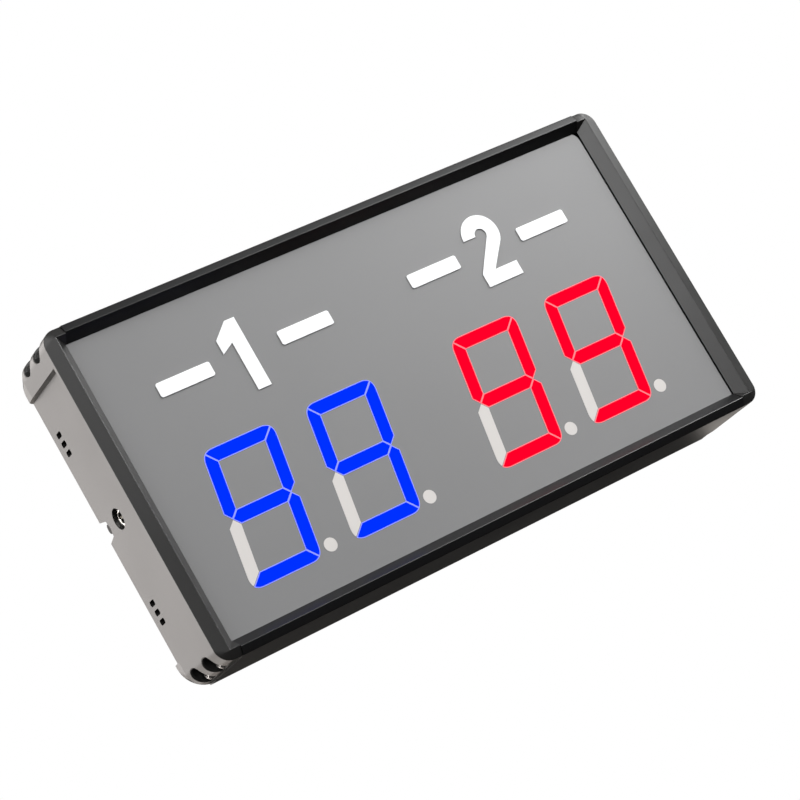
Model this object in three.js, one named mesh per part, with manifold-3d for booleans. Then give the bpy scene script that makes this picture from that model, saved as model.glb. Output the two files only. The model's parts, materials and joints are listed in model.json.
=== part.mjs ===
// Electronic scoreboard: two pairs of slanted seven-segment digits behind a grey panel, in a case of two
// extruded rails and two moulded end caps. Millimetres, X to the right, Y to the rear, Z up.
// Pieces are drawn round the middle of the panel's front face, and the whole stands on its bottom rail.

import * as THREE from 'three';
import { mergeVertices } from 'three/addons/utils/BufferGeometryUtils.js';
import { ConvexGeometry } from 'three/addons/geometries/ConvexGeometry.js';
import Module from 'manifold-3d';

const wasm = await Module();
wasm.setup();

// Clearances
const seat = 0.3;
const slide = 0.2;
const touch = 0.1;
const overrun = 1;

// Margins of the panel's opening round the digit shells, and the bezel
const leftMargin = 12.75;
const rightMargin = 19.4;
const pairGap = 21.45;
const lowerMargin = 5.8;
const headerHeight = 43.6;
const ridge = 3.7;
const capSlope = 3.63;
const capFace = 4.21;
const capEdge = 1.93;
const capDrop = 0.12;
const capRidgeDrop = 0.45;
const railSlope = 3.06;
const railFace = 2.74;
const railEdge = 2.47;
const lipThickness = 1.6;

// Case: the end caps' corners grow rounder to the rear, where the sides also turn in a little
const frontCorner = 5.2;
const middleCorner = 6;
const rearCorner = 9.2;
const middleDraft = 0.1;
const rearDraft = 0.4;
const rearTurn = 5;
const rearRound = 0.8;
const seamInset = 0.1;
const sideRecess = 1.8;
const sideWall = 2;
const blockAbove = 11.13;
const blockBelow = 9.88;
const blockSlope = 0.65;
const bossReach = 8;
const railWall = 1.6;
const ribThickness = 1.4;
const ribReach = 1;

// Panels and board
const panelThickness = 2;
const panelLap = 0.5;
const panelSideLap = 1.2;
const panelGap = 0.6;
const panelUpperCorner = 3.2;
const panelLowerCorner = 1;
const panelLeftCorner = 0.5;
const rearPanelThickness = 2;
const rearPanelInset = 2;
const rearPanelLap = 0.8;
const rearRoom = 1.9;
const boardThickness = 1.6;
const boardLap = 1.3;

// End cap screws
const portDepth = 7.2;
const portPitch = 11.05;
const portDrop = 2.4;
const portWall = 0.9;
const shankRadius = 1.3;
const threadClearance = 0.15;
const shankHoleRadius = 1.7;
const shankLength = 11;
const headRadius = 2.1;
const headHeight = 1.6;
const crossLength = 2.4;
const crossWidth = 0.7;
const crossDepth = 0.9;
const counterboreRadius = 3.8;
const counterboreFloor = 2.7;

// Features of the side walls
const sideCentre = -1;
const ventLength = 3.7;
const ventHeight = 1.9;
const ventCorner = 0.6;
const ventPitch = 3.28;
const ventCount = 3;
const ventGroupOffset = 30.45;
const ventDepth = 23.6;
const plugDepth = 15.4;
const plugHoleRadius = 3.6;
const notchMouth = 7.5;
const notchFloor = 5.6;
const notchLength = 4.6;
const notchCorner = 0.8;
const grommetHalfDepth = 1.1;
const grommetHalfHeight = 1.65;
const grommetShift = 0.6;

// Digits
const digitHeight = 46.4;
const digitWidth = 27.4;
const barWidth = 4.8;
const openCornerReach = 4;
const tightCornerReach = 5;
const slant = THREE.MathUtils.degToRad(10);
const webWidth = 0.45;
const windowClearance = 0.12;
const dotRadius = 2.3;
const dotGap = 1.78;
const dotRise = 0.5;
const shellSideRoom = 0.21;
const shellEndRoom = 3.6;
const shellGap = 1.4;
const shellDepth = 8;
const shellFace = 1.2;
const shellWall = 1.2;
const barSetBack = 0.15;
const castBack = 1;
const pinSize = 0.6;
const pinHole = 1;
const pinPitch = 5.08;
const pinColumns = 5;
const pinRowInset = 4.5;
const pinReach = 1.5;

// Header marks
const markHeight = 25;
const markStroke = 5;
const markThickness = 0.3;
const markWidthShare = 0.58;
const markBarLength = 20.5;
const markBarGap = 6;
const markBarCorner = 0.8;
const markDrop = 25.1;
const leftMarkShift = 1.75;
const rightMarkShift = 2.2;

// Plug socket
const socketLength = 14;
const socketWidth = 9;
const socketHeight = 11;
const socketBoreDepth = 10.5;
const sleeveRadius = 3.4;
const sleeveBoreRadius = 1.85;
const sleeveSetBack = 1.15;
const sleeveLength = 9.85;
const plugPinRadius = 0.65;
const plugPinLength = 10;

// Parts on the board: rise counts from the upper ends of the digit shells, inset from the board's ends
const controller = { length: 13, width: 7.6, height: 2.3, leads: 8, rise: 2.9 };
const driver = { length: 10, width: 4, height: 1.75, leads: 6, rise: 16.9 };
const leadWidth = 0.6;
const leadThickness = 0.3;
const leadReach = 1.4;
const crystal = { length: 11, width: 4.6, height: 3.6, gap: 4 };
const regulator = { length: 6.6, width: 6.2, height: 2.3, inset: 20.6, rise: -33.1 };
const capacitor = { radius: 4, height: 11, inset: 20.6, rise: 4.9 };
const sounder = { radius: 6, height: 9, inset: 18.6, rise: -17.1 };
const receiver = { length: 19, width: 12, thickness: 1.2, inset: 24.6, rise: 14.9 };
const receiverHeader = { length: 10.2, width: 2.5, height: 2.6 };

// Sides of round shapes
const roundSides = 16;
const smallSides = 12;
const cornerSteps = 4;
const capCornerSteps = 8;
const barCornerSteps = 3;
const markSteps = 3;
const numeralSteps = 12;

// Places worked out from the sizes above
const slantRun = digitHeight * Math.tan(slant);
const shellWidth = digitWidth + slantRun + 2 * (shellSideRoom + shellWall);
const shellHeight = digitHeight + 2 * (shellEndRoom + shellWall);
const digitPitch = shellWidth + shellGap;
const pairWidth = shellWidth + digitPitch;
const viewHalfX = (leftMargin + pairWidth + pairGap + pairWidth + rightMargin) / 2;
const viewHalfZ = (lowerMargin + shellHeight + headerHeight) / 2;
const leftPairCentre = -viewHalfX + leftMargin + pairWidth / 2;
const rightPairCentre = viewHalfX - rightMargin - pairWidth / 2;
const shellBottom = -viewHalfZ + lowerMargin;
const shellTop = shellBottom + shellHeight;
const digitCentreHeight = (shellBottom + shellTop) / 2;
const dotDrop = digitHeight / 2 - dotRadius - dotRise;
const dotOffset = digitWidth / 2 - dotDrop * Math.tan(slant) + dotGap + dotRadius;
const markCentreHeight = viewHalfZ - markDrop;
const leftMarkCentre = leftPairCentre + leftMarkShift;
const rightMarkCentre = rightPairCentre + rightMarkShift;
const railHalf = viewHalfZ + railSlope + railFace;
const capHalfX = viewHalfX + capSlope + capFace;
const capHalfZ = railHalf - capDrop;
const ridgeX = viewHalfX + capSlope;
const ridgeZ = viewHalfZ + railSlope;
const capRidgeZ = ridgeZ - capRidgeDrop;
const lipRear = lipThickness - capEdge;
const seamX = viewHalfX - seamInset;
const wallOuterX = capHalfX - sideRecess;
const wallInnerX = wallOuterX - sideWall;
const ribEdge = viewHalfZ - ribReach;
const panelTop = viewHalfZ + panelLap;
const panelRear = panelThickness;
const panelLeft = -viewHalfX - panelSideLap;
const panelRight = viewHalfX - panelGap;
const shellFront = panelRear + seat;
const panelRibRear = shellFront + ribThickness;
const boardFront = shellFront + shellDepth + touch;
const boardRear = boardFront + boardThickness;
const boardTop = viewHalfZ + boardLap;
const boardHalfX = seamX - seat;
const rearPanelFront = boardRear + touch + capacitor.height + rearRoom;
const rearPanelRear = rearPanelFront + rearPanelThickness;
const caseDepth = rearPanelRear + rearPanelInset;
const rearPanelTop = viewHalfZ + rearPanelLap;
const rearPanelHalfX = wallInnerX - seat;
const notchFront = caseDepth - notchLength;
const portHeight = railHalf - portDrop;
const portHoleRadius = shankRadius + threadClearance;
const portDepths = [portDepth, portDepth + portPitch];
const bossInner = capHalfZ - bossReach;
const headFloorX = seamX + counterboreFloor;
const digitCentres = [leftPairCentre, rightPairCentre].flatMap((centre) => [
  centre - digitPitch / 2,
  centre + digitPitch / 2,
]);

// Materials
const paint = (color, roughness, metalness) => new THREE.MeshStandardMaterial({ color, roughness, metalness });
const capPlastic = () => paint(0x6f6e6c, 0.5, 0);
const railMetal = () => paint(0x1d1d20, 0.35, 0.6);
const panelPlastic = () => paint(0x929294, 0.45, 0);
const boardLaminate = () => paint(0x1d5b34, 0.6, 0);
const shellPlastic = () => paint(0xd8d6d2, 0.6, 0);
const blueResin = () => paint(0x0036ff, 0.4, 0);
const redResin = () => paint(0xff0a26, 0.4, 0);
const markVinyl = () => paint(0xf6f8f8, 0.5, 0);
const steel = () => paint(0xb9bcc0, 0.3, 1);
const blackPlastic = () => paint(0x161618, 0.55, 0);
const blackRubber = () => paint(0x0e0e0f, 0.8, 0);

// Frames that turn a drawing into the object's axes: drawn across the front, or drawn as a side view
const axisX = new THREE.Vector3(1, 0, 0);
const axisY = new THREE.Vector3(0, 1, 0);
const axisZ = new THREE.Vector3(0, 0, 1);
const acrossFront = new THREE.Matrix4().makeBasis(axisX, axisZ, axisY.clone().negate());
const alongX = new THREE.Matrix4().makeBasis(axisY, axisZ, axisX);

function solid(geometry) {
  const bare = geometry.index ? geometry.toNonIndexed() : geometry.clone();
  bare.deleteAttribute('normal');
  bare.deleteAttribute('uv');
  const merged = mergeVertices(bare);
  const mesh = new wasm.Mesh({
    numProp: 3,
    vertProperties: new Float32Array(merged.attributes.position.array),
    triVerts: new Uint32Array(merged.index.array),
  });
  mesh.merge();
  return new wasm.Manifold(mesh);
}

function toGeometry(manifold) {
  const mesh = manifold.getMesh();
  const geometry = new THREE.BufferGeometry();
  geometry.setAttribute('position', new THREE.BufferAttribute(new Float32Array(mesh.vertProperties), 3));
  geometry.setIndex(new THREE.BufferAttribute(new Uint32Array(mesh.triVerts), 1));
  geometry.computeVertexNormals();
  return geometry;
}

function union(solids) {
  return solids.reduce((all, next) => all.add(next));
}

function cut(body, cutters) {
  return cutters.reduce((rest, cutter) => rest.subtract(cutter), body);
}

function box(lowX, highX, lowY, highY, lowZ, highZ) {
  const geometry = new THREE.BoxGeometry(highX - lowX, highY - lowY, highZ - lowZ);
  geometry.translate((lowX + highX) / 2, (lowY + highY) / 2, (lowZ + highZ) / 2);
  return solid(geometry);
}

// A shape drawn across the front, as thick as the stretch from front to rear
function slab(shape, front, rear, steps = cornerSteps) {
  const geometry = new THREE.ExtrudeGeometry(shape, {
    depth: rear - front,
    bevelEnabled: false,
    curveSegments: steps,
  });
  geometry.applyMatrix4(acrossFront);
  geometry.translate(0, rear, 0);
  return solid(geometry);
}

// A side view, drawn in depth and height, as long as the stretch from left to right
function bar(shape, left, right, steps = cornerSteps) {
  const geometry = new THREE.ExtrudeGeometry(shape, {
    depth: right - left,
    bevelEnabled: false,
    curveSegments: steps,
  });
  geometry.applyMatrix4(alongX);
  geometry.translate(left, 0, 0);
  return solid(geometry);
}

function rodAlongX(radius, left, right, depth, height, sides = roundSides) {
  const geometry = new THREE.CylinderGeometry(radius, radius, right - left, sides);
  geometry.rotateZ(Math.PI / 2);
  geometry.translate((left + right) / 2, depth, height);
  return solid(geometry);
}

function rodAlongY(radius, front, rear, x, height, sides = roundSides) {
  const geometry = new THREE.CylinderGeometry(radius, radius, rear - front, sides);
  geometry.translate(x, (front + rear) / 2, height);
  return solid(geometry);
}

function polygon(points) {
  return new THREE.Shape(points.map(([x, y]) => new THREE.Vector2(x, y)));
}

// A rectangle whose corners are rounded by the radii given anticlockwise from the top right
function roundedRectangle(lowX, highX, lowY, highY, radii) {
  const [topRight, topLeft, bottomLeft, bottomRight] = radii;
  const shape = new THREE.Shape();
  const quarter = Math.PI / 2;
  shape.absarc(highX - topRight, highY - topRight, topRight, 0, quarter);
  shape.absarc(lowX + topLeft, highY - topLeft, topLeft, quarter, 2 * quarter);
  shape.absarc(lowX + bottomLeft, lowY + bottomLeft, bottomLeft, 2 * quarter, 3 * quarter);
  shape.absarc(highX - bottomRight, lowY + bottomRight, bottomRight, 3 * quarter, 4 * quarter);
  return shape;
}

function evenlyRounded(halfX, halfY, radius) {
  return roundedRectangle(-halfX, halfX, -halfY, halfY, [radius, radius, radius, radius]);
}

function outlineAt(shape, depth) {
  return shape.getPoints(capCornerSteps).map((point) => new THREE.Vector3(point.x, depth, point.y));
}

function rectangleAt(halfX, halfZ, depth) {
  return outlineAt(polygon([[-halfX, -halfZ], [halfX, -halfZ], [halfX, halfZ], [-halfX, halfZ]]), depth);
}

function hull(points) {
  return solid(new ConvexGeometry(points));
}

// The opening that the bezel slopes down to, from past its ridge to the panel's front face
function bezelFunnel(slopeX, slopeZ) {
  const run = (ridge + overrun) / ridge;
  return hull([
    ...rectangleAt(viewHalfX, viewHalfZ, 0),
    ...rectangleAt(viewHalfX + slopeX * run, viewHalfZ + slopeZ * run, -ridge - overrun),
  ]);
}

function screwBores(radius, left, right, sides) {
  return [portHeight, -portHeight].flatMap((height) =>
    portDepths.map((depth) => rodAlongX(radius, left, right, depth, height, sides)));
}

function ventCutters() {
  const middle = (ventCount - 1) / 2;
  const half = ventHeight / 2;
  return [ventGroupOffset, -ventGroupOffset].flatMap((group) =>
    Array.from({ length: ventCount }, (_, place) => {
      const height = sideCentre + group + (place - middle) * ventPitch;
      const radii = [ventCorner, ventCorner, ventCorner, ventCorner];
      const low = ventDepth - ventLength / 2;
      const shape = roundedRectangle(low, low + ventLength, height - half, height + half, radii);
      return bar(shape, wallInnerX - overrun, wallOuterX + overrun, 2);
    }));
}

// The grommet's oval in a side view, larger all round by a clearance
function grommetOval(clearance) {
  const shape = new THREE.Shape();
  const depth = notchFront + grommetShift;
  shape.absellipse(depth, sideCentre, grommetHalfDepth + clearance, grommetHalfHeight + clearance, 0, 2 * Math.PI);
  return shape;
}

// The plug hole, and the notch in the rear edge with the seat of its grommet
function plugSideCutters() {
  const left = wallInnerX - overrun;
  const right = wallOuterX + overrun;
  const past = caseDepth + overrun;
  const flare = (notchMouth - notchFloor) / 2 * (notchLength + overrun) / notchLength;
  const floorHalf = notchFloor / 2;
  const straightHalf = floorHalf - notchCorner;
  const notch = new THREE.Shape();
  notch.moveTo(past, sideCentre + floorHalf + flare);
  notch.lineTo(notchFront + notchCorner, sideCentre + floorHalf);
  notch.quadraticCurveTo(notchFront, sideCentre + floorHalf, notchFront, sideCentre + straightHalf);
  notch.lineTo(notchFront, sideCentre - straightHalf);
  notch.quadraticCurveTo(notchFront, sideCentre - floorHalf, notchFront + notchCorner, sideCentre - floorHalf);
  notch.lineTo(past, sideCentre - floorHalf - flare);
  return [
    rodAlongX(plugHoleRadius, left, right, plugDepth, sideCentre, 2 * smallSides),
    bar(notch, left, right),
    bar(grommetOval(touch), left, right, roundSides),
  ];
}

// What is taken from an end cap's side between its corner blocks, whose faces slope outward
function sideRecessCutter() {
  const past = capHalfX + overrun;
  const spread = blockSlope * overrun / sideRecess;
  const low = blockBelow - capHalfZ;
  const high = capHalfZ - blockAbove;
  const shape = polygon([
    [wallOuterX, low + blockSlope],
    [past, low - spread],
    [past, high + spread],
    [wallOuterX, high - blockSlope],
  ]);
  return slab(shape, lipRear, caseDepth + overrun);
}

// An end cap at the right: bezel end, side wall and two corner blocks in one moulding
function endCap(plugSide) {
  const front = evenlyRounded(capHalfX, capHalfZ, frontCorner);
  const rearHalfX = capHalfX - rearDraft;
  const bezel = hull([
    ...outlineAt(front, lipRear),
    ...outlineAt(front, -capEdge),
    ...rectangleAt(ridgeX, capRidgeZ, -ridge),
  ]);
  const body = hull([
    ...outlineAt(front, (lipRear - capEdge) / 2),
    ...outlineAt(evenlyRounded(capHalfX - middleDraft, capHalfZ, middleCorner), caseDepth - rearTurn),
    ...outlineAt(evenlyRounded(rearHalfX, capHalfZ, rearCorner), caseDepth - rearRound),
    ...outlineAt(evenlyRounded(rearHalfX - rearRound, capHalfZ - rearRound, rearCorner - rearRound), caseDepth),
  ]);
  const whole = capHalfX + overrun;
  const tall = capHalfZ + overrun;
  const end = box(seamX, whole, -ridge - overrun, caseDepth + overrun, -tall, tall);
  const inner = seamX - overrun;
  const slot = panelTop + seat;
  const rearSlot = rearPanelTop + seat;
  return cut(bezel.add(body).intersect(end), [
    bezelFunnel(capSlope, railSlope - capRidgeDrop),
    box(inner, -panelLeft + seat, -touch, panelRear + seat, -slot, slot),
    box(inner, wallInnerX, panelRibRear, caseDepth + overrun, -bossInner, bossInner),
    box(inner, wallInnerX, rearPanelFront - slide, rearPanelRear + slide, -rearSlot, rearSlot),
    sideRecessCutter(),
    ...screwBores(counterboreRadius, headFloorX, whole, 2 * smallSides),
    ...screwBores(shankHoleRadius, inner, headFloorX + overrun, smallSides),
    ...ventCutters(),
    ...(plugSide ? plugSideCutters() : []),
  ]);
}

// The upper rail's section: bezel, outer wall, two screw ports, and grooves for panel, board and rear panel
function rail() {
  const length = seamX - touch;
  const wallInner = railHalf - railWall;
  const boardRibs = [boardFront - slide - ribThickness, boardRear + slide + ribThickness];
  const rearRib = rearPanelFront - slide - ribThickness;
  const section = polygon([
    [0, ribEdge],
    [0, viewHalfZ],
    [-ridge, ridgeZ],
    [-railEdge, railHalf],
    [caseDepth, railHalf],
    [caseDepth, ribEdge],
    [rearRib, ribEdge],
    [rearRib, wallInner],
    [boardRibs[1], wallInner],
    [boardRibs[1], ribEdge],
    [boardRibs[0], ribEdge],
    [boardRibs[0], wallInner],
    [panelRibRear, wallInner],
    [panelRibRear, ribEdge],
  ]);
  const portRadius = portHoleRadius + portWall;
  const ports = portDepths.map((depth) => rodAlongX(portRadius, -length, length, depth, portHeight));
  const past = length + overrun;
  const groove = (front, rear, top) => box(-past, past, front, rear, ribEdge - overrun, top);
  const holes = portDepths.map((depth) => rodAlongX(portHoleRadius, -past, past, depth, portHeight, smallSides));
  return cut(union([bar(section, -length, length), ...ports]), [
    groove(-touch, panelRear + seat, panelTop + seat),
    groove(boardFront - slide, boardRear + slide, boardTop + seat),
    groove(rearPanelFront - slide, rearPanelRear + slide, rearPanelTop + seat),
    ...holes,
  ]);
}

// One half of the rounding of a digit's upper right corner, from the side's edge or from the top's to its middle
function cornerHalf(reach, fromSide) {
  return Array.from({ length: barCornerSteps + 1 }, (_, step) => {
    const share = step / barCornerSteps / 2;
    const along = reach * (1 - share) ** 2;
    const across = reach * share ** 2;
    const [x, y] = fromSide ? [across, along] : [along, across];
    return [digitWidth / 2 - x, digitHeight / 2 - y];
  });
}

// The seven bars of a digit fill its outline edge to edge: drawn upright, then leant over
function barOutlines() {
  const right = digitWidth / 2;
  const top = digitHeight / 2;
  const half = barWidth / 2;
  const innerX = right - barWidth;
  const innerTop = top - barWidth;
  const middle = right - half;
  const turned = (points) => points.map(([x, y]) => [-x, -y]);
  const mirrored = (points) => points.map(([x, y]) => [-x, y]).reverse();
  const upper = [
    ...mirrored(cornerHalf(openCornerReach, false)).reverse(),
    [-innerX, innerTop],
    [innerX, innerTop],
    ...cornerHalf(tightCornerReach, false).reverse(),
  ];
  const upperSide = (reach) => [
    ...cornerHalf(reach, true),
    [innerX, innerTop],
    [innerX, half],
    [middle, 0],
    [right, half],
  ];
  const centre = [
    [-middle, 0],
    [half - middle, -half],
    [middle - half, -half],
    [middle, 0],
    [middle - half, half],
    [half - middle, half],
  ];
  const upright = [
    upper,
    upperSide(tightCornerReach),
    turned(mirrored(upperSide(openCornerReach))),
    turned(upper),
    turned(upperSide(tightCornerReach)),
    mirrored(upperSide(openCornerReach)),
    centre,
  ];
  return upright.map((points) => points.map(([x, y]) => [x + y * Math.tan(slant), y]));
}

// An anticlockwise convex outline with every edge moved in by the same distance
function inset(points, distance) {
  const count = points.length;
  const edges = points.map(([x, y], place) => {
    const [nextX, nextY] = points[(place + 1) % count];
    const length = Math.hypot(nextX - x, nextY - y);
    const normal = [-(nextY - y) / length, (nextX - x) / length];
    return { normal, offset: normal[0] * x + normal[1] * y + distance };
  });
  return edges.map((edge, place) => {
    const before = edges[(place + count - 1) % count];
    const cross = before.normal[0] * edge.normal[1] - before.normal[1] * edge.normal[0];
    return [
      (before.offset * edge.normal[1] - edge.offset * before.normal[1]) / cross,
      (before.normal[0] * edge.offset - edge.normal[0] * before.offset) / cross,
    ];
  });
}

// Outlines of a digit's bars and dot at its place on the panel, moved in from the shared edges
function digitShapes(centreX, distance, Kind = THREE.Shape) {
  const shapes = barOutlines().map((points) => {
    const placed = inset(points, distance).map(([x, y]) =>
      new THREE.Vector2(x + centreX, y + digitCentreHeight));
    return new Kind(placed);
  });
  const dot = new Kind();
  const radius = dotRadius + webWidth / 2 - distance;
  dot.absarc(centreX + dotOffset, digitCentreHeight - dotDrop, radius, 0, 2 * Math.PI);
  return [...shapes, dot];
}

function frontPanel() {
  const top = panelTop;
  const radii = [panelUpperCorner, panelLeftCorner, panelLeftCorner, panelLowerCorner];
  const shape = roundedRectangle(panelLeft, panelRight, -top, top, radii);
  shape.holes = digitCentres.flatMap((centreX) => digitShapes(centreX, webWidth / 2, THREE.Path));
  return slab(shape, 0, panelThickness);
}

function digitShell(centreX) {
  const half = shellWidth / 2;
  const halfInner = half - shellWall;
  const rear = shellFront + shellDepth;
  const tray = box(centreX - half, centreX + half, shellFront, rear, shellBottom, shellTop);
  const room = box(centreX - halfInner, centreX + halfInner, shellFront + shellFace, rear + overrun,
    shellBottom + shellWall, shellTop - shellWall);
  const windows = digitShapes(centreX, webWidth / 2).map((shape) =>
    slab(shape, shellFront - overrun, shellFront + shellFace + overrun));
  return cut(tray, [room, ...windows]);
}

function pinPlaces(centreX) {
  const row = shellHeight / 2 - pinRowInset;
  const middle = (pinColumns - 1) / 2;
  return [row, -row].flatMap((offset) =>
    Array.from({ length: pinColumns }, (_, column) => [
      centreX + (column - middle) * pinPitch,
      digitCentreHeight + offset,
    ]));
}

// The resin cast into a shell: bars and dot in front, a back slab, and the pins set in it
function digitCast(centreX) {
  const halfX = shellWidth / 2 - shellWall - seat;
  const halfZ = shellHeight / 2 - shellWall - seat;
  const front = shellFront + shellFace + seat;
  const rear = shellFront + shellDepth - castBack;
  const back = box(centreX - halfX, centreX + halfX, front, rear,
    digitCentreHeight - halfZ, digitCentreHeight + halfZ);
  const middle = (front + rear) / 2;
  const bars = digitShapes(centreX, webWidth / 2 + windowClearance).map((shape) =>
    slab(shape, barSetBack, middle));
  const half = pinSize / 2;
  const pins = pinPlaces(centreX).map(([x, z]) =>
    box(x - half, x + half, middle, boardRear + pinReach, z - half, z + half));
  return union([back, ...bars, ...pins]);
}

function mainBoard() {
  const half = pinHole / 2;
  const socketHalf = socketWidth / 2 + seat;
  const socketEnd = -wallInnerX + seat + socketLength + seat;
  const shape = polygon([
    [-boardHalfX, -boardTop],
    [boardHalfX, -boardTop],
    [boardHalfX, boardTop],
    [-boardHalfX, boardTop],
    [-boardHalfX, sideCentre + socketHalf],
    [socketEnd, sideCentre + socketHalf],
    [socketEnd, sideCentre - socketHalf],
    [-boardHalfX, sideCentre - socketHalf],
  ]);
  const holes = digitCentres.flatMap(pinPlaces).map(([x, z]) =>
    box(x - half, x + half, boardFront - overrun, boardRear + overrun, z - half, z + half));
  return cut(slab(shape, boardFront, boardRear), holes);
}

// A screw at the right: pan head with a cross recess, and its shank to the left
function capScrew(depth, height) {
  const headLeft = headFloorX + touch;
  const headRight = headLeft + headHeight;
  const shank = rodAlongX(shankRadius, headLeft - shankLength, headLeft + touch, depth, height, smallSides);
  const crown = new THREE.LatheGeometry([
    new THREE.Vector2(0, 0),
    new THREE.Vector2(headRadius, 0),
    new THREE.Vector2(headRadius, headHeight / 2),
    new THREE.Vector2(headRadius * Math.SQRT1_2, headHeight),
    new THREE.Vector2(0, headHeight),
  ], roundSides);
  crown.rotateZ(-Math.PI / 2);
  crown.translate(headLeft, depth, height);
  const long = crossLength / 2;
  const narrow = crossWidth / 2;
  const floor = headRight - crossDepth;
  const past = headRight + overrun;
  return cut(shank.add(solid(crown)), [
    box(floor, past, depth - long, depth + long, height - narrow, height + narrow),
    box(floor, past, depth - narrow, depth + narrow, height - long, height + long),
  ]);
}

function socketMouthX() {
  return -wallInnerX + seat;
}

function socketBody() {
  const mouth = socketMouthX();
  const halfY = socketHeight / 2;
  const halfZ = socketWidth / 2;
  const block = box(mouth, mouth + socketLength, plugDepth - halfY, plugDepth + halfY,
    sideCentre - halfZ, sideCentre + halfZ);
  const bore = rodAlongX(sleeveRadius + touch, mouth - overrun, mouth + socketBoreDepth, plugDepth, sideCentre,
    2 * smallSides);
  return block.subtract(bore);
}

// The sleeve's face shows in the plug hole, behind the wall's outer face
function socketSleeve() {
  const face = sleeveSetBack - wallOuterX;
  const end = face + sleeveLength;
  const tube = rodAlongX(sleeveRadius, face, end, plugDepth, sideCentre, 2 * smallSides);
  const bore = rodAlongX(sleeveBoreRadius, face - overrun, end + overrun, plugDepth, sideCentre,
    2 * smallSides);
  return tube.subtract(bore);
}

function socketPin() {
  const end = socketMouthX() + socketBoreDepth - touch;
  return rodAlongX(plugPinRadius, end - plugPinLength, end, plugDepth, sideCentre, smallSides);
}

// A chip lying on the board's rear face, with its leads along both long sides
function chip({ length, width, height, leads, rise }, x) {
  const low = boardRear + touch;
  const z = shellTop + rise;
  const body = box(x - length / 2, x + length / 2, low, low + height, z - width / 2, z + width / 2);
  const pitch = length / leads;
  const reach = width / 2 + leadReach;
  const legs = Array.from({ length: leads }, (_, place) => {
    const middle = x + (place - (leads - 1) / 2) * pitch;
    return box(middle - leadWidth / 2, middle + leadWidth / 2, low, low + leadThickness,
      z - reach, z + reach);
  });
  return union([body, ...legs]);
}

function boardBlock({ length, width, height, rise }, x) {
  const low = boardRear + touch;
  const z = shellTop + rise;
  return box(x - length / 2, x + length / 2, low, low + height, z - width / 2, z + width / 2);
}

function boardCan({ radius, height, rise }, x) {
  const low = boardRear + touch;
  return rodAlongY(radius, low, low + height, x, shellTop + rise, roundSides);
}

function receiverBoard(x) {
  const { length, width, thickness, rise } = receiver;
  const low = boardRear + touch + receiverHeader.height + touch;
  const z = shellTop + rise;
  return box(x - length / 2, x + length / 2, low, low + thickness, z - width / 2, z + width / 2);
}

function numeralOne(centreX) {
  const half = markHeight / 2;
  const width = markHeight * markWidthShare;
  const stem = markStroke / 2;
  const flag = width / 2 - stem;
  return polygon([
    [centreX + stem, markCentreHeight - half],
    [centreX + stem, markCentreHeight + half],
    [centreX - stem / 2, markCentreHeight + half],
    [centreX - stem - flag, markCentreHeight + half - markStroke],
    [centreX - stem - flag, markCentreHeight + half - 2 * markStroke],
    [centreX - stem, markCentreHeight + half - 1.5 * markStroke],
    [centreX - stem, markCentreHeight - half],
  ]);
}

function numeralTwo(centreX) {
  const half = markHeight / 2;
  const outer = markHeight * markWidthShare / 2;
  const innerRadius = outer - markStroke;
  const bowl = markCentreHeight + half - outer;
  const base = markCentreHeight - half;
  const lean = THREE.MathUtils.degToRad(35);
  const shape = new THREE.Shape();
  shape.moveTo(centreX - outer, base);
  shape.lineTo(centreX + outer, base);
  shape.lineTo(centreX + outer, base + markStroke);
  shape.lineTo(centreX - outer / 4, base + markStroke);
  shape.absarc(centreX, bowl, outer, -lean, Math.PI);
  shape.absarc(centreX, bowl, innerRadius, Math.PI, -lean, true);
  shape.lineTo(centreX - outer, base + markStroke);
  return shape;
}

function markBar(centreX, side) {
  const near = markHeight * markWidthShare / 2 + markBarGap;
  const start = side > 0 ? centreX + near : centreX - near - markBarLength;
  const half = markStroke / 2;
  const corners = [markBarCorner, markBarCorner, markBarCorner, markBarCorner];
  return roundedRectangle(start, start + markBarLength, markCentreHeight - half, markCentreHeight + half,
    corners);
}

function mark(shape, steps = markSteps) {
  return slab(shape, -markThickness - touch, -touch, steps);
}

function mirrorX(manifold) {
  const geometry = toGeometry(manifold);
  geometry.scale(-1, 1, 1);
  geometry.index.array.reverse();
  return geometry;
}

function mirrorZ(manifold) {
  const geometry = toGeometry(manifold);
  geometry.scale(1, 1, -1);
  geometry.index.array.reverse();
  return geometry;
}

const scoreboard = new THREE.Group();
scoreboard.name = 'scoreboard';

function place(name, shape, material) {
  const geometry = shape.isBufferGeometry ? shape : toGeometry(shape);
  const mesh = new THREE.Mesh(geometry, material);
  mesh.name = name;
  scoreboard.add(mesh);
}

// Case
place('left_end_cap', mirrorX(endCap(true)), capPlastic());
place('right_end_cap', endCap(false), capPlastic());
place('top_rail', rail(), railMetal());
place('bottom_rail', mirrorZ(rail()), railMetal());
place('front_panel', frontPanel(), panelPlastic());
place('rear_panel', box(-rearPanelHalfX, rearPanelHalfX, rearPanelFront, rearPanelRear,
  -rearPanelTop, rearPanelTop), blackPlastic());

// Screws, numbered from the upper front one of the left cap
let screwNumber = 0;
for (const [side, turn] of [['left', mirrorX], ['right', toGeometry]]) {
  for (const height of [portHeight, -portHeight]) {
    for (const depth of portDepths) {
      screwNumber += 1;
      place(`${side}_cap_screw_${screwNumber}`, turn(capScrew(depth, height)), steel());
    }
  }
}

// Digits, numbered from the left
digitCentres.forEach((centreX, index) => {
  const resin = index < digitCentres.length / 2 ? blueResin : redResin;
  place(`digit_shell_${index + 1}`, digitShell(centreX), shellPlastic());
  place(`digit_cast_${index + 1}`, digitCast(centreX), resin());
});

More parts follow.
